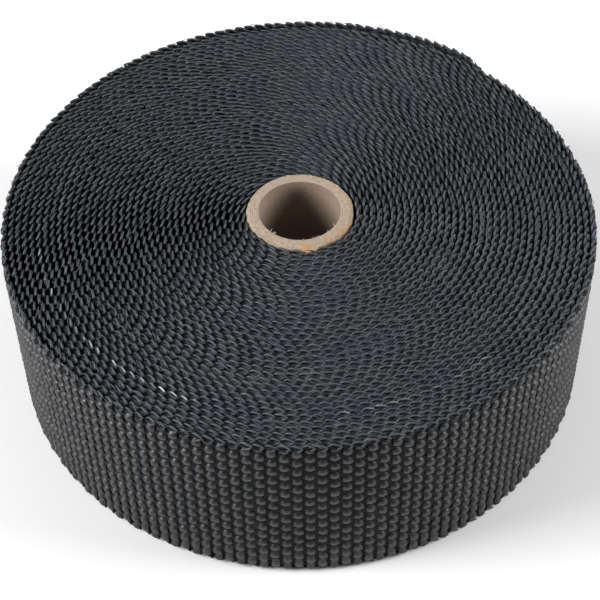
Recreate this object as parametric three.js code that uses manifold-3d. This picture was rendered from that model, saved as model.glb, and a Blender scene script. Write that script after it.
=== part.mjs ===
// A roll of woven heat-wrap tape on a cardboard tube, standing on its end.
// Millimetres, +Z up. The origin is on the roll's axis, on the plane that the roll stands on.
import * as THREE from "three";
import { mergeVertices } from "three/addons/utils/BufferGeometryUtils.js";
import Module from "manifold-3d";

const wasm = await Module();
wasm.setup();

// The woven tape, as it was cut and wound.
const TAPE_WIDTH = 50;
const TAPE_LENGTH = 10000;
const TAPE_THICKNESS = 1.73;

// The cardboard tube that the tape is wound on.
const TUBE_OUTER_DIAMETER = 27.3;
const TUBE_WALL = 3.3;
const TUBE_CLEARANCE = 0.3;

// How the turns lie. Between two turns the roll's ends dip by VALLEY_DEPTH, and
// the tight turns' edges lie EDGE_DROP inside the edges of the outer turn.
const VALLEY_DEPTH = 0.8;
const EDGE_DROP = 0.25;

// The free end of the tape is TAIL_ANGLE degrees anticlockwise from +X, and lies TAIL_GAP off the
// roll. Behind it the outer turn bulges off the turn under it, most of all BULGE_ARC degrees on,
// and lies tight again LOOSE_ARC degrees from the free end.
const TAIL_ANGLE = 47;
const TAIL_GAP = 0.3;
const BULGE_GAP = 1.2;
const BULGE_ARC = 7;
const LOOSE_ARC = 138;

// Facets round one turn.
const WINDING_SEGMENTS = 32;
const OUTER_TURN_SEGMENTS = 96;
const TUBE_SEGMENTS = 48;

const tubeRadius = TUBE_OUTER_DIAMETER / 2;
const boreRadius = tubeRadius - TUBE_WALL;
const firstTurnRadius = tubeRadius + TUBE_CLEARANCE;

// Seen from above, the wound ring has the area of the tape's edge: its length times its thickness.
const woundRadius = Math.sqrt(firstTurnRadius ** 2 + (TAPE_LENGTH * TAPE_THICKNESS) / Math.PI);
const turnCount = Math.round((woundRadius - firstTurnRadius) / TAPE_THICKNESS);
const tightTurns = turnCount - 1;
const tightRadius = firstTurnRadius + tightTurns * TAPE_THICKNESS;

// A geometry with its shared vertices merged, as a solid that can be joined.
function solidFrom(geometry) {
  const bare = geometry.clone();
  bare.deleteAttribute("normal");
  bare.deleteAttribute("uv");
  const merged = mergeVertices(bare);
  const mesh = new wasm.Mesh({
    numProp: 3,
    vertProperties: new Float32Array(merged.attributes.position.array),
    triVerts: new Uint32Array(merged.index.array),
  });
  return new wasm.Manifold(mesh);
}

// The joined solid back as a geometry.
function geometryFrom(solid) {
  const mesh = solid.getMesh();
  const geometry = new THREE.BufferGeometry();
  geometry.setAttribute("position", new THREE.BufferAttribute(mesh.vertProperties, 3));
  geometry.setIndex(new THREE.BufferAttribute(mesh.triVerts, 1));
  geometry.computeVertexNormals();
  return geometry;
}

// A closed profile of radius and height, turned round the Z axis.
function turned(profile, segments) {
  const closed = [...profile, profile[0].clone()];
  return new THREE.LatheGeometry(closed, segments).rotateX(Math.PI / 2);
}

// One end of the tight winding, from the bore outwards: the edge of each turn is a ridge.
function ridges(edgeHeight, valleyHeight) {
  const points = [];
  for (let turn = 0; turn < tightTurns; turn++) {
    const inner = firstTurnRadius + turn * TAPE_THICKNESS;
    points.push(new THREE.Vector2(inner, valleyHeight));
    points.push(new THREE.Vector2(inner + TAPE_THICKNESS / 2, edgeHeight));
  }
  points.push(new THREE.Vector2(tightRadius, valleyHeight));
  return points;
}

function tightWinding() {
  const low = ridges(EDGE_DROP, EDGE_DROP + VALLEY_DEPTH);
  const highEdge = TAPE_WIDTH - EDGE_DROP;
  const high = ridges(highEdge, highEdge - VALLEY_DEPTH);
  return turned([...low, ...high.reverse()], WINDING_SEGMENTS);
}

// How far the outer turn stands off, at an arc in degrees from the free end.
function standOff(arc) {
  const rise = arc / BULGE_ARC;
  const fall = (LOOSE_ARC - arc) / (LOOSE_ARC - BULGE_ARC);
  const slack = Math.max(0, Math.min(rise, fall));
  const end = Math.max(0, 1 - rise);
  return BULGE_GAP * slack ** 2 + TAIL_GAP * end;
}

// The outer turn sinks by one thickness over its whole turn, and so runs into the winding.
function outerTurn() {
  const outer = [];
  const inner = [];
  for (let step = 0; step <= OUTER_TURN_SEGMENTS; step++) {
    const share = step / OUTER_TURN_SEGMENTS;
    const angle = THREE.MathUtils.degToRad(TAIL_ANGLE + share * 360);
    const direction = new THREE.Vector2(Math.cos(angle), Math.sin(angle));
    const radius = tightRadius + TAPE_THICKNESS * (1 - share) + standOff(share * 360);
    outer.push(direction.clone().multiplyScalar(radius));
    inner.push(direction.clone().multiplyScalar(radius - TAPE_THICKNESS));
  }
  const outline = new THREE.Shape([...outer, ...inner.reverse()]);
  return new THREE.ExtrudeGeometry(outline, { depth: TAPE_WIDTH, bevelEnabled: false });
}

function wrapRoll() {
  const solid = solidFrom(tightWinding()).add(solidFrom(outerTurn()));
  const material = new THREE.MeshStandardMaterial({
    color: 0x3c3f43,
    roughness: 0.92,
    metalness: 0,
    flatShading: true,
  });
  const mesh = new THREE.Mesh(geometryFrom(solid), material);
  mesh.name = "wrap_roll";
  return mesh;
}

// The tube is cut to the tape's width, so it is level with the outer turn at both ends.
function coreTube() {
  const profile = [
    new THREE.Vector2(boreRadius, 0),
    new THREE.Vector2(tubeRadius, 0),
    new THREE.Vector2(tubeRadius, TAPE_WIDTH),
    new THREE.Vector2(boreRadius, TAPE_WIDTH),
  ];
  const material = new THREE.MeshStandardMaterial({
    color: 0xc8b298,
    roughness: 0.88,
    metalness: 0,
    flatShading: true,
  });
  const mesh = new THREE.Mesh(turned(profile, TUBE_SEGMENTS), material);
  mesh.name = "core_tube";
  return mesh;
}

const roll = new THREE.Group();
roll.add(wrapRoll(), coreTube());

export default roll;
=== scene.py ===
# A roll of woven glass-fibre tape on its cardboard tube, standing on its end.
# Metres, +Z up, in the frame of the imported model. Angles are in turns, counted anticlockwise
# from above, and a place along the tape is in turns from its free end.
import math

import bmesh
import bpy
from mathutils import Matrix, Vector, noise


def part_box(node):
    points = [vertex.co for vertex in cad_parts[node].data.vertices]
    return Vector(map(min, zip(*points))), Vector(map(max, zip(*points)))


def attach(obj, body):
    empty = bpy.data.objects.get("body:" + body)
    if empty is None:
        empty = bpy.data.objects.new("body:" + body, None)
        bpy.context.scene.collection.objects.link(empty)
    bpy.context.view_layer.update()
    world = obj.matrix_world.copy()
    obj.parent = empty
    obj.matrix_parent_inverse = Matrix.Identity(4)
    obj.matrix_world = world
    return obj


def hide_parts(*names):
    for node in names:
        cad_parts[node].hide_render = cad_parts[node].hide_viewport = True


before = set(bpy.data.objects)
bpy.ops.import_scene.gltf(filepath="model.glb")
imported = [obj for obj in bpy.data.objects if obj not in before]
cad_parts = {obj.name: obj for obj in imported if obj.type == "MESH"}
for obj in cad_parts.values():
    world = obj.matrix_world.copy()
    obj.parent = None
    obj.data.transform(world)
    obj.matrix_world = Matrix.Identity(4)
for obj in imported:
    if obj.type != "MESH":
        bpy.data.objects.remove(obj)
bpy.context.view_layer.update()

MM = 0.001

roll_low, roll_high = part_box("wrap_roll")
TAPE_WIDTH = roll_high.z - roll_low.z
TUBE_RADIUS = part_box("core_tube")[1].x

# How the tape is wound. Behind its free end the outer turn bulges off the roll as far as the loose
# end, and the free end itself droops inwards. The innermost turn lies on the tube.
PITCH = 1.73 * MM
TUBE_WALL = 3.3 * MM
TUBE_CLEARANCE = 0.3 * MM
TIGHT_TURNS = 35
TIGHT_RADIUS = TUBE_RADIUS + TUBE_CLEARANCE + TIGHT_TURNS * PITCH
WINDING = {
    "Tight Radius": TIGHT_RADIUS,
    "Pitch": PITCH,
    "Tail Turn": 47 / 360,
    "Bulge": 1.25 * MM,
    "Bulge End": 7 / 360,
    "Loose End": 138 / 360,
    "Droop": 0.9 * MM,
    "Droop End": 5 / 360,
    "Least Radius": TUBE_RADIUS + 0.78 * MM,
}

# The weave. The thick weft goes up and down across the tape, and the thin warp runs along it.
# Each turn holds fewer wefts than the turn outside it. Only the outer turn shows its face, so
# the face's yarns are made for WOVEN_TURNS.
WEFTS_IN_FIRST_TURN = 166.0
WEFTS_LOST_PER_TURN = 3.9
WARP_COUNT = 29
WARP_SPACING = 1.71 * MM
WEFTS = {
    "Wefts In Turn": WEFTS_IN_FIRST_TURN,
    "Wefts Lost": WEFTS_LOST_PER_TURN,
}
WARPS = {
    "Warp Spacing": WARP_SPACING,
    "First Warp Height": (TAPE_WIDTH - (WARP_COUNT - 1) * WARP_SPACING) / 2,
}
WOVEN_TURNS = 1.07

# The tape ends at the last turn, and its innermost stretch lies on the tube. The upper selvedge is
# made as two pieces, which meet at the split turn. The lower one is clear of the floor.
LAST_TURN = TIGHT_TURNS + 0.75
SPLIT_TURN = 14.0
LOWER_EDGE_HEIGHT = 0.35 * MM


def added(name, data):
    """A new object in the scene."""
    item = bpy.data.objects.new(name, data)
    bpy.context.scene.collection.objects.link(item)
    return item


# Node trees

class Field:
    """A value in a node tree. Sums and products of fields become nodes."""

    def __init__(self, graph, socket):
        self.graph = graph
        self.socket = socket

    def __add__(self, other):
        return self.graph.math("ADD", self, other)

    def __radd__(self, other):
        return self.graph.math("ADD", other, self)

    def __sub__(self, other):
        return self.graph.math("SUBTRACT", self, other)

    def __rsub__(self, other):
        return self.graph.math("SUBTRACT", other, self)

    def __mul__(self, other):
        return self.graph.math("MULTIPLY", self, other)

    def __rmul__(self, other):
        return self.graph.math("MULTIPLY", other, self)

    def __truediv__(self, other):
        return self.graph.math("DIVIDE", self, other)

    def __pow__(self, other):
        return self.graph.math("POWER", self, other)


class Graph:
    """A node tree in the making."""

    def __init__(self, tree):
        self.tree = tree

    def feed(self, socket, value):
        source = value.socket if isinstance(value, Field) else value
        if isinstance(source, bpy.types.NodeSocket):
            self.tree.links.new(source, socket)
        else:
            socket.default_value = source

    def node(self, kind, inputs=None, **settings):
        node = self.tree.nodes.new(kind)
        for name, value in settings.items():
            setattr(node, name, value)
        for key, value in (inputs or {}).items():
            self.feed(node.inputs[key], value)
        return node

    def field(self, kind, inputs=None, output=0, **settings):
        return Field(self, self.node(kind, inputs, **settings).outputs[output])

    def math(self, operation, *values):
        return self.field("ShaderNodeMath", dict(enumerate(values)), operation=operation)

    def clamp(self, value):
        return self.field("ShaderNodeMath", {0: value, 1: 0.0}, operation="ADD", use_clamp=True)

    def smooth(self, value):
        share = self.clamp(value)
        return share * share * (3 - 2 * share)

    def sine(self, turns):
        return self.math("SINE", turns * math.tau)

    def cosine(self, turns):
        return self.math("COSINE", turns * math.tau)

    def floor(self, value):
        return self.math("FLOOR", value)

    def vector(self, x=0.0, y=0.0, z=0.0):
        return self.field("ShaderNodeCombineXYZ", {"X": x, "Y": y, "Z": z})

    def scaled(self, vector, factor):
        inputs = {0: vector, "Scale": factor}
        return self.field("ShaderNodeVectorMath", inputs, operation="SCALE")

    def parts(self, vector):
        split = self.node("ShaderNodeSeparateXYZ", {0: vector})
        return [Field(self, split.outputs[axis]) for axis in "XYZ"]

    def speckle(self, spot, detail=1.0):
        """Smooth noise from 0 to 1, with one swing in each unit."""
        inputs = {"Vector": spot, "Scale": 1.0, "Detail": detail}
        return self.field("ShaderNodeTexNoise", inputs)

    def wobble(self, place, seed):
        """Smooth noise from about -1 to 1 along a line, with one swing in each unit of place."""
        return (self.speckle(self.vector(place, seed)) - 0.5) * 2.8


class ShapeTree(Graph):
    """A geometry node tree with named sizes, which ends in a realized mesh with its material."""

    def __init__(self, name, sizes):
        super().__init__(bpy.data.node_groups.new(name, "GeometryNodeTree"))
        self.sizes = sizes
        interface = self.tree.interface
        for label, value in sizes.items():
            kind = "NodeSocketInt" if isinstance(value, int) else "NodeSocketFloat"
            socket = interface.new_socket(label, in_out="INPUT", socket_type=kind)
            socket.default_value = value
        interface.new_socket("Geometry", in_out="OUTPUT", socket_type="NodeSocketGeometry")
        self.entry = self.node("NodeGroupInput")

    def size(self, label):
        return Field(self, self.entry.outputs[label])

    def chance(self, low, high, number, seed):
        """A random value from low to high for each number."""
        inputs = {2: low, 3: high, "ID": number, "Seed": seed}
        return self.field("FunctionNodeRandomValue", inputs, output=1, data_type="FLOAT")

    def keep(self, geometry, label, value):
        """The geometry with the value stored on its points, for the material to read."""
        inputs = {"Geometry": geometry, "Name": label, "Value": value}
        return self.field("GeometryNodeStoreNamedAttribute", inputs, data_type="FLOAT")

    def kept(self, label):
        inputs = {"Name": label}
        return self.field("GeometryNodeInputNamedAttribute", inputs, data_type="FLOAT")

    def end(self, geometry, material):
        smooth = self.field("GeometryNodeSetShadeSmooth", {"Geometry": geometry})
        real = self.field("GeometryNodeRealizeInstances", {"Geometry": smooth})
        inputs = {"Geometry": real, "Material": material}
        painted = self.field("GeometryNodeSetMaterial", inputs)
        self.node("NodeGroupOutput", {"Geometry": painted})

    def piece(self, name):
        """The tree's result as an object with a plain mesh."""
        piece = added(name, bpy.data.meshes.new(name))
        modifier = piece.modifiers.new("shape", "NODES")
        modifier.node_group = self.tree
        for item in self.tree.interface.items_tree:
            if item.in_out == "INPUT":
                modifier[item.identifier] = self.sizes[item.name]
        depsgraph = bpy.context.evaluated_depsgraph_get()
        depsgraph.update()
        evaluated = piece.evaluated_get(depsgraph)
        mesh = bpy.data.meshes.new_from_object(
            evaluated, preserve_all_data_layers=True, depsgraph=depsgraph
        )
        piece.modifiers.clear()
        piece.data = mesh
        mesh.name = name
        return piece


# Shapes that follow the tape

def centre_radius(tree, turns):
    """The radius of the tape's middle layer at a place along it."""
    bulge_end = tree.size("Bulge End")
    loose_end = tree.size("Loose End")
    rise = turns / bulge_end
    fall = (loose_end - turns) / (loose_end - bulge_end)
    bulge = tree.size("Bulge") * tree.smooth(tree.math("MINIMUM", rise, fall))
    droop = tree.size("Droop") * tree.smooth(1 - turns / tree.size("Droop End"))
    wound = tree.size("Tight Radius") + tree.size("Pitch") * (0.5 - turns)
    return tree.math("MAXIMUM", wound, tree.size("Least Radius")) + bulge - droop


def turns_at(tree, weft):
    """The place along the tape of a weft's number."""
    wefts = tree.size("Wefts In Turn")
    lost = tree.size("Wefts Lost")
    root = tree.math("SQRT", wefts * wefts - 2 * lost * weft)
    return (wefts - root) / lost


def wefts_before(turn):
    """How many wefts lie between the free end and a place along the tape."""
    return WEFTS_IN_FIRST_TURN * turn - WEFTS_LOST_PER_TURN * turn**2 / 2


def at_tape(tree, turns, outwards, height):
    """The point that lies so far out of the tape's middle layer, at a place and a height."""
    radius = centre_radius(tree, turns) + outwards
    angle = turns + tree.size("Tail Turn")
    return tree.vector(radius * tree.cosine(angle), radius * tree.sine(angle), height)


def outward_normal(tree, turns):
    angle = turns + tree.size("Tail Turn")
    return tree.vector(tree.cosine(angle), tree.sine(angle))


def numbered(tree, per_strand):
    """The number of each point's strand, and the point's number on that strand."""
    index = tree.field("GeometryNodeInputIndex")
    strand = tree.floor((index + 0.5) / per_strand)
    return strand, index - strand * per_strand


def strands(tree, count, per_strand, strand, position, normal):
    """Curves of per_strand points each, with their normals."""
    points = tree.field("GeometryNodePoints", {"Count": tree.math("MULTIPLY", count, per_strand)})
    placed = tree.field("GeometryNodeSetPosition", {"Geometry": points, "Position": position})
    inputs = {"Points": placed, "Curve Group ID": strand}
    curves = tree.field("GeometryNodePointsToCurves", inputs)
    inputs = {"Curve": curves, "Normal": normal}
    return tree.field("GeometryNodeSetCurveNormal", inputs, mode="FREE")


def oval(tree, sides, half_thick, half_wide):
    """The section of a yarn. Its place on the section is kept for the material."""
    inputs = {"Resolution": sides, "Radius": 1.0}
    circle = tree.field("GeometryNodeCurvePrimitiveCircle", inputs, mode="RADIUS")
    across, beside = tree.parts(tree.field("GeometryNodeInputPosition"))[:2]
    circle = tree.keep(circle, "across", across)
    circle = tree.keep(circle, "beside", beside)
    position = tree.vector(across * half_thick, beside * half_wide)
    return tree.field("GeometryNodeSetPosition", {"Geometry": circle, "Position": position})


def swept(tree, curve, section, scale):
    inputs = {"Curve": curve, "Profile Curve": section, "Scale": scale, "Fill Caps": True}
    return tree.field("GeometryNodeCurveToMesh", inputs)


# The wound cloth and its yarns

def wound_cloth(material):
    """The body of the cloth: one ribbon wound from the free end to the tube."""
    sizes = {
        **WINDING,
        "Turns": LAST_TURN,
        "Points In Turn": 64,
        "Half Thickness": 0.82 * MM,
        "Woven Half Thickness": 0.22 * MM,
        "Half Height": TAPE_WIDTH / 2 - 0.85 * MM,
        "Middle Height": TAPE_WIDTH / 2,
        "Squareness": 0.3,
        "Thinning Rate": 20.0,
    }
    tree = ShapeTree("wound cloth", sizes)
    points = tree.math("FLOOR", tree.size("Turns") * tree.size("Points In Turn") + 1)
    strand, step = numbered(tree, points)
    turns = step / tree.size("Points In Turn")
    position = at_tape(tree, turns, 0.0, tree.size("Middle Height"))
    curve = strands(tree, 1, points, strand, position, outward_normal(tree, turns))
    curve = tree.keep(curve, "turn", turns)
    curve = tree.keep(curve, "along", turns * WEFTS_IN_FIRST_TURN)
    section = oval(tree, 12, tree.size("Half Thickness"), tree.size("Half Height"))
    mesh = swept(tree, curve, section, 1.0)
    tree.end(thinned(tree, mesh), material)
    return tree.piece("wound_cloth")


def thinned(tree, mesh):
    """The ribbon with square sides, and thin where the yarns of the outer turn stand on it."""
    turns = tree.kept("turn")
    across = tree.kept("across")
    square = tree.math("SIGN", across) * tree.math("ABSOLUTE", across) ** tree.size("Squareness")
    thick = tree.size("Half Thickness")
    thin = tree.size("Woven Half Thickness")
    tight = tree.smooth((turns - WOVEN_TURNS) * tree.size("Thinning Rate"))
    wanted = thin + (thick - thin) * tight
    angle = turns + tree.size("Tail Turn")
    move = square * wanted - across * thick
    offset = tree.vector(move * tree.cosine(angle), move * tree.sine(angle))
    return tree.field("GeometryNodeSetPosition", {"Geometry": mesh, "Offset": offset})


def selvedge(name, material, from_turn, to_turn, edge_height, inwards, steps, sides):
    """The looped yarn along one edge of the tape, with one stitch for each weft.

    Each stitch crosses the edge outwards, turns back as it dives down the outer face, and comes
    up again on the inner face one weft further on.
    """
    first = wefts_before(from_turn)
    sizes = {
        **WINDING,
        **WEFTS,
        "First Stitch": first,
        "Points": int((wefts_before(to_turn) - first) * steps),
        "Points In Stitch": steps,
        "Yarn Radius": 0.31 * MM,
        "Half Width": 0.48 * MM,
        "Reach": 0.35,
        "Turn Back": 0.12,
        "Reach Phase": 0.65,
        "Crossing Phase": 0.1,
        "Dive": 1.6 * MM,
        "Dive Phase": 0.82,
        "Dive Sharpness": 1.5,
        "Edge Height": edge_height,
        "Inwards": inwards,
        "Unevenness": 0.23 * MM,
        "Looseness": 0.42,
        "Fine Looseness": 0.22,
        "Drift": 0.20,
        "Settling": 1.8,
        "Uneven Plumpness": 0.24,
    }
    tree = ShapeTree(name.replace("_", " "), sizes)
    points = tree.size("Points")
    strand, step = numbered(tree, points)
    stitch = tree.size("First Stitch") + step / tree.size("Points In Stitch")
    loose = 1 + tree.size("Looseness") * tree.wobble(stitch * 0.6, 7.0)
    loose = loose + tree.size("Fine Looseness") * tree.wobble(stitch * 1.7, 19.0)
    back = stitch - tree.size("Reach Phase")
    reach = tree.size("Reach") * tree.sine(back) + tree.size("Turn Back") * tree.sine(2 * back)
    place = stitch - loose * reach + tree.size("Drift") * tree.wobble(stitch * 0.8, 3.0)
    turns = turns_at(tree, place)
    uneven = tree.size("Unevenness")
    phase = tree.cosine(stitch - tree.size("Crossing Phase"))
    crossing = loose * tree.size("Half Width") * phase
    outwards = uneven * tree.wobble(stitch * 0.7, 11.0) - crossing
    low = (1 + tree.cosine(stitch - tree.size("Dive Phase"))) / 2
    stretch = tree.size("Settling") * tree.wobble(turns * 6.0, 31.0)
    settled = uneven * (tree.wobble(stitch * 0.9, 23.0) + stretch)
    dive = tree.size("Dive") * low ** tree.size("Dive Sharpness")
    sunk = tree.size("Yarn Radius") + dive + settled
    height = tree.size("Edge Height") + tree.size("Inwards") * sunk
    position = at_tape(tree, turns, outwards, height)
    curve = strands(tree, 1, points, strand, position, outward_normal(tree, turns))
    curve = tree.keep(curve, "turn", turns)
    curve = tree.keep(curve, "along", stitch)
    curve = tree.keep(curve, "top", 1 - low)
    radius = tree.size("Yarn Radius")
    section = oval(tree, sides, radius, radius)
    plump = 1 + tree.size("Uneven Plumpness") * tree.wobble(stitch * 1.1, 41.0)
    tree.end(swept(tree, curve, section, plump), material)
    return tree.piece(name)


def stray_fibres(material):
    """Broken fibres that lie on the upper edges of the turns."""
    sizes = {
        **WINDING,
        "Fibres": 2400,
        "Points In Fibre": 4,
        "Last Turn": LAST_TURN,
        "Fibre Length": 3.4 * MM,
        "Half Thickness": 0.10 * MM,
        "Rise": 0.35 * MM,
        "Lift": 0.8,
        "Arch": 3.0,
        "Taper": 2.0,
        "Covered Area": 0.94,
        "Edge Height": TAPE_WIDTH - 0.35 * MM,
        "Seed": 11,
    }
    tree = ShapeTree("stray fibres", sizes)
    seed = tree.size("Seed")
    per_strand = tree.size("Points In Fibre")
    strand, step = numbered(tree, per_strand)
    share = step / (per_strand - 1) - 0.5
    area = tree.size("Covered Area") * tree.chance(0.0, 1.0, strand, seed)
    start = tree.size("Last Turn") * (1 - tree.math("SQRT", 1 - area))
    length = tree.size("Fibre Length") * tree.chance(0.35, 1.0, strand, seed + 1)
    slope = tree.chance(-0.35, 0.75, strand, seed + 2)
    curl = tree.chance(-0.6, 0.6, strand, seed + 3)
    depth = tree.chance(-1.3, 0.7, strand, seed + 4)
    ahead = length * share / (math.tau * centre_radius(tree, start))
    outwards = length * (slope * share + curl * share * share)
    rise = tree.size("Rise") * (depth + tree.size("Lift") - tree.size("Arch") * share * share)
    turns = start + ahead
    position = at_tape(tree, turns, outwards, tree.size("Edge Height") + rise)
    curve = strands(tree, tree.size("Fibres"), per_strand, strand, position, tree.vector(z=1.0))
    curve = tree.keep(curve, "along", strand * 3.3 + share)
    section = oval(tree, 4, tree.size("Half Thickness"), tree.size("Half Thickness"))
    width = 1.1 - tree.size("Taper") * share * share
    tree.end(swept(tree, curve, section, width), material)
    return tree.piece("stray_fibres")


def weft_columns(material):
    """The wefts on the outside of the outer turn, which bulge out between the warps."""
    sizes = {
        **WINDING,
        **WEFTS,
        **WARPS,
        "Columns": int(WEFTS_IN_FIRST_TURN * WOVEN_TURNS),
        "Points In Column": 86,
        "Half Thickness": 0.46 * MM,
        "Half Width": 1.20 * MM,
        "Swing": 0.50 * MM,
        "Valley Sharpness": 2.2,
        "End Height": 1.2 * MM,
        "Merged Rows": 7.0,
        "Merging": 1.1,
        "Tape Width": TAPE_WIDTH,
        "Unevenness": 0.14 * MM,
        "Shift": 0.16,
        "Drift": 0.10,
        "Plumpness": 0.88,
        "Crest Plumpness": 0.14,
        "Uneven Plumpness": 0.13,
    }
    tree = ShapeTree("weft columns", sizes)
    count = tree.size("Columns")
    per_strand = tree.size("Points In Column")
    strand, step = numbered(tree, per_strand)
    end = tree.size("End Height")
    share = step / (per_strand - 1)
    height = end + (tree.size("Tape Width") - 2 * end) * share
    rows = (height - tree.size("First Warp Height")) / tree.size("Warp Spacing")
    shifted = rows + tree.size("Shift") * tree.wobble(rows * 0.5 + strand * 4.7, 37.0)
    wave = tree.cosine((shifted + strand) / 2)
    merged = tree.smooth(1 - rows / tree.size("Merged Rows"))
    valley = ((1 - wave) / 2) ** tree.size("Valley Sharpness")
    full = 1 - (2 - tree.size("Merging") * merged) * valley
    drift = tree.size("Drift") * tree.wobble(rows * 0.5 + strand * 7.3, 5.0)
    turns = turns_at(tree, strand + 0.5 + drift)
    uneven = tree.size("Unevenness") * tree.wobble(rows * 0.6 + strand * 3.1, 17.0)
    position = at_tape(tree, turns, tree.size("Swing") * full + uneven, height)
    curve = strands(tree, count, per_strand, strand, position, outward_normal(tree, turns))
    curve = tree.keep(curve, "along", rows + strand * 5.7)
    section = oval(tree, 6, tree.size("Half Thickness"), tree.size("Half Width"))
    plump = tree.size("Plumpness") + tree.size("Crest Plumpness") * full
    swelling = tree.size("Uneven Plumpness") * tree.wobble(rows * 0.55 + strand * 9.1, 29.0)
    tree.end(swept(tree, curve, section, plump + swelling), material)
    return tree.piece("weft_columns")


def warp_rows(material):
    """The thin warps on the outside of the outer turn, over one weft and under the next."""
    wefts = WEFTS_IN_FIRST_TURN * WOVEN_TURNS
    points_for_each_weft = 3
    sizes = {
        **WINDING,
        **WEFTS,
        **WARPS,
        "Rows": WARP_COUNT,
        "Wefts Crossed": wefts,
        "Points In Row": int(wefts * points_for_each_weft),
        "Half Thickness": 0.24 * MM,
        "Half Width": 0.34 * MM,
        "Swing": 0.14 * MM,
        "Unevenness": 0.10 * MM,
    }
    tree = ShapeTree("warp rows", sizes)
    count = tree.size("Rows")
    per_strand = tree.size("Points In Row")
    strand, step = numbered(tree, per_strand)
    weft = tree.size("Wefts Crossed") * step / (per_strand - 1)
    turns = turns_at(tree, weft)
    wave = tree.cosine((weft - 0.5 + strand) / 2)
    sway = tree.size("Unevenness") * tree.wobble(weft * 0.5 + strand * 5.9, 13.0)
    height = tree.size("First Warp Height") + strand * tree.size("Warp Spacing") + sway
    position = at_tape(tree, turns, -1 * tree.size("Swing") * wave, height)
    curve = strands(tree, count, per_strand, strand, position, outward_normal(tree, turns))
    curve = tree.keep(curve, "along", weft + strand * 3.7)
    section = oval(tree, 5, tree.size("Half Thickness"), tree.size("Half Width"))
    tree.end(swept(tree, curve, section, 1.0), material)
    return tree.piece("warp_rows")


# The cardboard tube

TUBE_SEGMENTS = 160
CRUSHED_WIDTH = 1.0 * MM
CRUSHED_DEPTH = 1.2 * MM
LIP_ROUNDING = 0.2 * MM
FLAP_TURN = 279 / 360
FLAP_HALF_TURN = 11 / 360
FLAP_REACH = 1.2 * MM
BROAD_WEAR = 0.28 * MM
FINE_WEAR = 0.10 * MM
FUZZ = 0.16 * MM


def tube_profile():
    """Radius, height and softness of each point, up the bore and over the rim to the middle."""
    bore = TUBE_RADIUS - TUBE_WALL
    lip = bore + LIP_ROUNDING
    flat = TUBE_RADIUS - CRUSHED_WIDTH
    middle = TAPE_WIDTH / 2
    points = [(bore, middle + share * (middle - LIP_ROUNDING), 0.0) for share in (0, 0.4, 0.8, 1)]
    points += [(lip + share * (flat - lip), TAPE_WIDTH, 0.3) for share in (0, 0.25, 0.5, 0.75, 1)]
    for share in (0.25, 0.5, 0.75, 1.0):
        angle = share * math.pi / 2
        height = TAPE_WIDTH - CRUSHED_DEPTH * (1 - math.cos(angle))
        points.append((flat + CRUSHED_WIDTH * math.sin(angle), height, math.sin(2 * angle) + 0.2))
    points.append((TUBE_RADIUS, middle, 0.0))
    return points


def worn(radius, height, softness, turn):
    """A point of the rim, pushed about by wear, with one flap of the outer ply pressed out."""
    around = Vector((math.cos(turn * math.tau), math.sin(turn * math.tau), 0.0))
    broad = noise.noise(around * 4.0 + Vector((0, 0, height / MM)))
    fine = noise.noise(around * 22.0 + Vector((0, radius / MM, 5.0)))
    flap = math.exp(-(((turn - FLAP_TURN) / FLAP_HALF_TURN) ** 2))
    outer = (radius - TUBE_RADIUS + TUBE_WALL) / TUBE_WALL
    out = softness * (BROAD_WEAR * broad + FINE_WEAR * fine + outer * flap * FLAP_REACH)
    up = softness * FUZZ * fine
    spot = around * (radius + out)
    spot.z = height + up
    return spot


def cardboard_tube(material):
    """The tube, with its edges crushed a little and its bore's lip rounded."""
    upper = tube_profile()
    lower = [(radius, TAPE_WIDTH - height, soft) for radius, height, soft in upper]
    ring = upper + lower[-2:0:-1]
    mesh = bmesh.new()
    loops = []
    for segment in range(TUBE_SEGMENTS):
        turn = segment / TUBE_SEGMENTS
        loops.append([mesh.verts.new(worn(*point, turn)) for point in ring])
    for segment, loop in enumerate(loops):
        following = loops[(segment + 1) % TUBE_SEGMENTS]
        for side in range(len(ring)):
            after = (side + 1) % len(ring)
            mesh.faces.new((loop[side], loop[after], following[after], following[side]))
    bmesh.ops.recalc_face_normals(mesh, faces=mesh.faces)
    for face in mesh.faces:
        face.smooth = True
    data = bpy.data.meshes.new("cardboard_tube")
    mesh.to_mesh(data)
    mesh.free()
    data.materials.append(material)
    return added("cardboard_tube", data)


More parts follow.
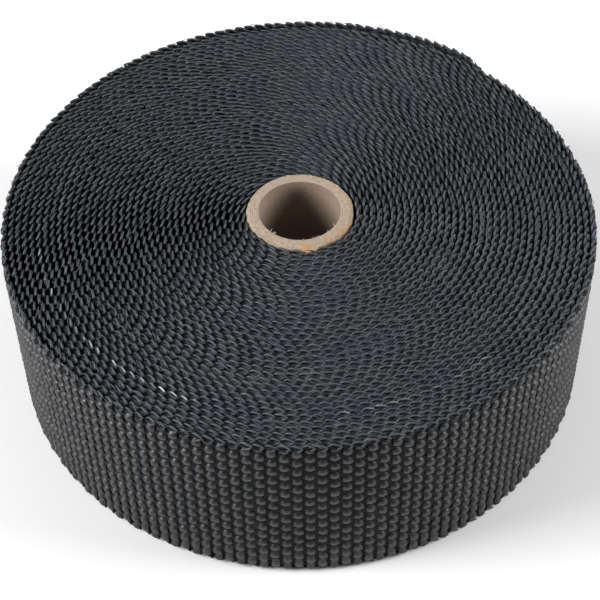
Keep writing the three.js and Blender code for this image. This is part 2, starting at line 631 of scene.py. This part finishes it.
def lip_fibres(material):
    """Torn paper fibres round the bore's lip, most of them at the front."""
    sizes = {
        "Fibres": 10,
        "Points In Fibre": 5,
        "Lip Radius": TUBE_RADIUS - TUBE_WALL + 0.5 * LIP_ROUNDING,
        "Lip Height": TAPE_WIDTH - 0.1 * MM,
        "Fibre Length": 1.2 * MM,
        "Half Thickness": 0.05 * MM,
        "Half Width": 0.08 * MM,
        "Taper": 0.75,
        "Seed": 4,
    }
    tree = ShapeTree("lip fibres", sizes)
    seed = tree.size("Seed")
    per_strand = tree.size("Points In Fibre")
    strand, step = numbered(tree, per_strand)
    share = step / (per_strand - 1)
    front = tree.chance(0.58, 0.92, strand, seed)
    length = tree.size("Fibre Length") * tree.chance(0.3, 1.0, strand, seed + 1) ** 2
    lean = tree.chance(-0.9, 0.9, strand, seed + 2)
    lift = tree.chance(0.1, 1.0, strand, seed + 3)
    curl = tree.chance(-0.5, 0.5, strand, seed + 4)
    radius = tree.size("Lip Radius") - length * share * (1 - 0.6 * lift)
    sideways = length * (lean * share + curl * share * share) / tree.size("Lip Radius")
    angle = front + sideways / math.tau
    height = tree.size("Lip Height") + length * lift * (share - 0.3 * share * share)
    position = tree.vector(radius * tree.cosine(angle), radius * tree.sine(angle), height)
    curve = strands(tree, tree.size("Fibres"), per_strand, strand, position, tree.vector(z=1.0))
    section = oval(tree, 4, tree.size("Half Thickness"), tree.size("Half Width"))
    tree.end(swept(tree, curve, section, 1 - tree.size("Taper") * share), material)
    return tree.piece("lip_fibres")


# Materials

# Colours are linear. A dye multiplies the yarn's tone, and the relief is how deep the bump looks.
BUMP_STRENGTH = 0.5
YARN_RELIEF = 0.12 * MM
BOARD_RELIEF = 0.2 * MM
COLD_DYE = (0.85, 0.99, 1.25)
WARM_DYE = (0.92, 0.98, 1.13)
DYE_PATCHES_PER_MM = 0.12


class ShadeGroup(Graph):
    """A shader node group with named inputs and outputs."""

    def __init__(self, name, inputs, outputs):
        super().__init__(bpy.data.node_groups.new(name, "ShaderNodeTree"))
        interface = self.tree.interface
        for label, value in inputs.items():
            socket = interface.new_socket(label, in_out="INPUT", socket_type="NodeSocketFloat")
            socket.default_value = value
        for label, kind in outputs.items():
            interface.new_socket(label, in_out="OUTPUT", socket_type=kind)
        self.entry = self.node("NodeGroupInput")
        self.exit = self.node("NodeGroupOutput")

    def value(self, label):
        return Field(self, self.entry.outputs[label])


def attribute(graph, label):
    """A value that the piece's mesh carries."""
    return graph.field("ShaderNodeAttribute", output="Fac", attribute_name=label)


def object_place(graph):
    """The place on the piece, in millimetres."""
    return graph.scaled(graph.node("ShaderNodeTexCoord").outputs["Object"], 1 / MM)


def new_material(name, roughness, gloss=0.5):
    """A material, with its graph and its shader."""
    material = bpy.data.materials.new(name)
    material.use_nodes = True
    shader = material.node_tree.nodes["Principled BSDF"]
    shader.inputs["Roughness"].default_value = roughness
    shader.inputs["Specular IOR Level"].default_value = gloss
    return material, Graph(material.node_tree), shader


def bumped(graph, shader, height, distance):
    """Fine relief, in the shading only."""
    inputs = {"Height": height, "Strength": BUMP_STRENGTH, "Distance": distance}
    bump = graph.node("ShaderNodeBump", inputs)
    graph.feed(shader.inputs["Normal"], bump.outputs["Normal"])


def mixed(graph, share, first, second):
    """A colour between two colours."""
    inputs = {"Factor": share, 6: first, 7: second}
    return graph.field("ShaderNodeMix", inputs, output=2, data_type="RGBA")


def yarn_fibres():
    """Glass fibres along a yarn, with uneven dye from stitch to stitch and over the roll.

    Along counts stitches or wefts on the yarn, and across and beside go round its section.
    """
    group = ShadeGroup(
        "yarn fibres",
        {"Tone": 0.05, "Contrast": 1.0},
        {"Colour": "NodeSocketColor", "Fibres": "NodeSocketFloat"},
    )
    along = attribute(group, "along")
    across = attribute(group, "across")
    beside = attribute(group, "beside")
    streaks = group.speckle(group.vector(along * 1.2, across * 4.5, beside * 4.5), 2.0)
    stitches = group.speckle(group.vector(along * 0.9, 4.0, 9.0))
    dye = group.speckle(group.scaled(object_place(group), DYE_PATCHES_PER_MM))
    varied = (streaks - 0.5) * 1.5 + (stitches - 0.5) * 1.6 + (dye - 0.5) * 0.8
    light = group.math("POWER", 2.0, varied * group.value("Contrast") * 1.3)
    inputs = {"Factor": group.clamp((dye - 0.5) * 3 + 0.35), 4: COLD_DYE, 5: WARM_DYE}
    tint = group.field("ShaderNodeMix", inputs, output=1, data_type="VECTOR")
    colour = group.scaled(tint, group.value("Tone") * light)
    group.feed(group.exit.inputs["Colour"], colour)
    group.feed(group.exit.inputs["Fibres"], streaks)
    return group.tree


def glass_yarn(name, fibres, tone, contrast, roughness, gloss, overlay=None):
    """Dark glass yarn with a dull sheen. The overlay turns its colour into another one."""
    material, graph, shader = new_material(name, roughness, gloss)
    group = graph.node("ShaderNodeGroup", node_tree=fibres)
    group.inputs["Tone"].default_value = tone
    group.inputs["Contrast"].default_value = contrast
    colour = group.outputs["Colour"]
    if overlay:
        colour = overlay(graph, colour)
    graph.feed(shader.inputs["Base Color"], colour)
    bumped(graph, shader, group.outputs["Fibres"], YARN_RELIEF)
    return material


# Stretches of the selvedge whose stitches are pale on their upward-facing crests: from and to a
# turn, and how pale it is.
PALE_STRETCHES = (
    (5.370, 5.475, 0.35),
    (5.475, 5.560, 1.0),
    (5.640, 5.735, 0.30),
    (8.300, 8.480, 0.12),
    (31.930, 32.210, 0.07),
)
PALE_YARN = (0.50, 0.52, 0.54, 1.0)
# Painted light: the paler colour on the cloth's edges, which lightens the shaded holes between the
# stitches.
EDGE_PAINTED_LIGHT = (0.040, 0.044, 0.053, 1.0)


def pale_stitch_crests(graph, colour):
    """A pale colour on the upward-facing crests of some stitches, in a few stretches of the
    selvedge.
    """
    turn = attribute(graph, "turn")
    along = attribute(graph, "along")
    top = attribute(graph, "top")
    pale = 0.0
    for start, finish, paleness in PALE_STRETCHES:
        ends = graph.math("MINIMUM", turn - start, finish - turn)
        pale = pale + paleness * graph.smooth(ends * 300)
    stitches = graph.speckle(graph.vector(along * 0.8, 2.0, 5.0))
    facing = graph.parts(graph.node("ShaderNodeNewGeometry").outputs["Normal"])[2]
    crest = graph.smooth((top - 0.80) * 8) * graph.smooth((facing - 0.62) * 4)
    share = graph.clamp(pale * crest * graph.smooth((stitches - 0.40) * 4))
    return mixed(graph, share, colour, PALE_YARN)


def ends_with_painted_light(graph, colour):
    """Painted light: a paler colour along the upper and lower edges of the wound cloth, in the
    shaded holes.
    """
    ends = graph.math("ABSOLUTE", attribute(graph, "beside"))
    return mixed(graph, graph.smooth((ends - 0.93) * 25), colour, EDGE_PAINTED_LIGHT)


# The stains on the tube's rim: place and reach in millimetres, and strength.
STAINS = (
    ((1.6, -12.8, 49.5), 2.8, 0.75),
    ((9.5, -8.5, 49.5), 9.0, 0.35),
)
BOARD_LIGHT = (0.315, 0.255, 0.192, 1.0)
BOARD_DARK = (0.135, 0.103, 0.078, 1.0)
BOARD_STAIN = (0.30, 0.165, 0.070, 1.0)
BORE_COLOUR = (0.175, 0.130, 0.100, 1.0)
TORN_LIGHT = (0.58, 0.49, 0.39, 1.0)
TORN_DARK = (0.40, 0.31, 0.23, 1.0)
PLY = 0.55
PLY_WAVINESS = 0.35
BROAD_GRAIN_PER_MM = 0.9
FINE_GRAIN_PER_MM = 5.0
PAPER_ROUGHNESS = 0.9


def cardboard():
    """Wound board: its plies show on the rim, and its bore is darker."""
    material, graph, shader = new_material("cardboard", PAPER_ROUGHNESS, 0.2)
    place = object_place(graph)
    x, y = graph.parts(place)[:2]
    radius = graph.math("SQRT", x * x + y * y)
    broad = graph.speckle(graph.scaled(place, BROAD_GRAIN_PER_MM), 2.0)
    fine = graph.speckle(graph.scaled(place, FINE_GRAIN_PER_MM), 3.0)
    bore = (TUBE_RADIUS - TUBE_WALL) / MM
    plies = graph.cosine((radius - bore + PLY_WAVINESS * (broad - 0.5)) / PLY)
    line = graph.smooth((plies - 0.55) * 2.5) * graph.smooth((broad - 0.30) * 3)
    worn_share = graph.clamp(0.25 + (fine - 0.5) * 2.6 + (broad - 0.5) * 0.8 + 0.60 * line)
    board = mixed(graph, worn_share, BOARD_LIGHT, BOARD_DARK)
    outer = graph.smooth((radius - bore - 0.8) / 1.6)
    for stain_place, reach, strength in STAINS:
        inputs = {0: place, 1: stain_place}
        far = graph.field("ShaderNodeVectorMath", inputs, output="Value", operation="DISTANCE")
        stain = graph.smooth((1 - far / reach) * 1.4 + (broad - 0.5) * 1.2)
        board = mixed(graph, strength * stain * outer, board, BOARD_STAIN)
    inside = graph.smooth((bore + 0.16 - radius) * 12)
    speckled = graph.clamp(1 + (fine - 0.5) * 0.9 + (broad - 0.5) * 0.5)
    inner = mixed(graph, 1 - speckled, BORE_COLOUR, BOARD_DARK)
    graph.feed(shader.inputs["Base Color"], mixed(graph, inside, board, inner))
    bumped(graph, shader, fine + 0.5 * line, BOARD_RELIEF)
    return material


def paper_fibre():
    """The torn fibres, paler than the board."""
    material, graph, shader = new_material("paper fibre", PAPER_ROUGHNESS)
    fine = graph.speckle(object_place(graph), 2.0)
    graph.feed(shader.inputs["Base Color"], mixed(graph, fine, TORN_LIGHT, TORN_DARK))
    return material


# Stage, light and camera

FLOOR_HALF_SIZE = 6.0
FLOOR_COLOUR = (0.62, 0.62, 0.62, 1.0)
FLOOR_ROUGHNESS = 0.9

# Each light's place, width and power, in metres and watts. All of them face the roll's upper end.
LIGHTS = {
    "left light": ((-0.74, -0.12, 0.46), 0.5, 15.0),
    "right light": ((0.75, -0.05, 0.42), 0.5, 10.5),
    "high light": ((0.0, 0.0, 1.0), 1.6, 4.5),
}
WORLD_COLOUR = (1.0, 1.0, 1.0, 1.0)
WORLD_STRENGTH = 0.09


def floor():
    size = FLOOR_HALF_SIZE
    mesh = bpy.data.meshes.new("floor")
    corners = [(-size, -size, 0), (size, -size, 0), (size, size, 0), (-size, size, 0)]
    mesh.from_pydata(corners, [], [(0, 1, 2, 3)])
    plane = added("floor", mesh)
    material, graph, shader = new_material("floor", FLOOR_ROUGHNESS)
    graph.feed(shader.inputs["Base Color"], FLOOR_COLOUR)
    mesh.materials.append(material)


def area_light(name, place, size, power):
    target = Vector((0.0, 0.0, TAPE_WIDTH))
    data = bpy.data.lights.new(name, "AREA")
    data.shape = "DISK"
    data.size = size
    data.energy = power
    light = added(name, data)
    light.location = place
    light.rotation_euler = (target - Vector(place)).to_track_quat("-Z", "Y").to_euler()


def lighting():
    for name, (place, size, power) in LIGHTS.items():
        area_light(name, place, size, power)
    world = bpy.data.worlds.new("world")
    bpy.context.scene.world = world
    world.use_nodes = True
    background = world.node_tree.nodes["Background"]
    background.inputs["Color"].default_value = WORLD_COLOUR
    background.inputs["Strength"].default_value = WORLD_STRENGTH


# The camera was fitted to the photograph. Its focal length is in pixels of the square frame.
CAMERA_DISTANCE = 403.2 * MM
CAMERA_ELEVATION = math.radians(44.83)
CAMERA_YAW = math.radians(0.05)
CAMERA_PITCH = math.radians(-3.24)
CAMERA_ROLL = math.radians(1.03)
FOCAL_PIXELS = 1589.8
FRAME_PIXELS = 600
SENSOR_WIDTH = 36.0
NEAREST_SEEN = 0.01


def camera():
    """The photograph's camera: it looks a little below the middle of the roll's upper end."""
    outwards = Vector((0, -math.cos(CAMERA_ELEVATION), math.sin(CAMERA_ELEVATION)))
    place = outwards * CAMERA_DISTANCE + Vector((0, 0, TAPE_WIDTH))
    ahead = -outwards
    right = Vector((1, 0, 0))
    up = right.cross(ahead)
    for axis, angle in ((up, CAMERA_YAW), (right, CAMERA_PITCH)):
        turn = Matrix.Rotation(angle, 3, axis.copy())
        ahead, right, up = turn @ ahead, turn @ right, turn @ up
    turn = Matrix.Rotation(CAMERA_ROLL, 3, ahead.copy())
    right, up = turn @ right, turn @ up
    data = bpy.data.cameras.new("camera")
    data.sensor_width = SENSOR_WIDTH
    data.lens = data.sensor_width * FOCAL_PIXELS / FRAME_PIXELS
    data.clip_start = NEAREST_SEEN
    eye = added("camera", data)
    basis = Matrix((right, up, -ahead)).transposed().to_4x4()
    eye.matrix_world = Matrix.Translation(place) @ basis
    bpy.context.scene.camera = eye


camera()
lighting()
floor()
bpy.context.scene.view_settings.view_transform = "Standard"

fibres = yarn_fibres()
edge = glass_yarn(
    "edge yarn", fibres, tone=0.030, contrast=1.3, roughness=0.52, gloss=0.4, overlay=pale_stitch_crests
)
# The face and warp yarns are much darker than the same glass yarn on the top: partly their own dark
# colour, partly painted shade for the roll's shaded side.
face = glass_yarn("face yarn", fibres, tone=0.007, contrast=1.4, roughness=0.42, gloss=0.6)
broken = glass_yarn("broken fibres", fibres, tone=0.045, contrast=1.6, roughness=0.50, gloss=0.5)
# Partly painted shade, as on the face yarn.
thin = glass_yarn("warp yarn", fibres, tone=0.008, contrast=0.6, roughness=0.60, gloss=0.2)
# The cloth's edges carry painted light, to lighten the shaded holes between the stitches.
inner = glass_yarn(
    "cloth inside", fibres, tone=0.014, contrast=0.8, roughness=0.80, gloss=0.2, overlay=ends_with_painted_light
)
upper_edge = {"edge_height": TAPE_WIDTH, "inwards": -1.0, "steps": 10, "sides": 5}
lower_edge = {"edge_height": LOWER_EDGE_HEIGHT, "inwards": 1.0, "steps": 6, "sides": 4}
roll_pieces = [
    wound_cloth(inner),
    selvedge("top_selvedge_outer", edge, 0.0, SPLIT_TURN, **upper_edge),
    selvedge("top_selvedge_inner", edge, SPLIT_TURN, LAST_TURN, **upper_edge),
    selvedge("bottom_selvedge", edge, 0.0, LAST_TURN, **lower_edge),
    stray_fibres(broken),
    weft_columns(face),
    warp_rows(thin),
]
tube_pieces = [cardboard_tube(cardboard()), lip_fibres(paper_fibre())]
for pieces, node, slot in (
    (roll_pieces, "wrap_roll", "woven_tape"),
    (tube_pieces, "core_tube", "cardboard"),
):
    for piece in pieces:
        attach(piece, "root")
        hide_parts(node)
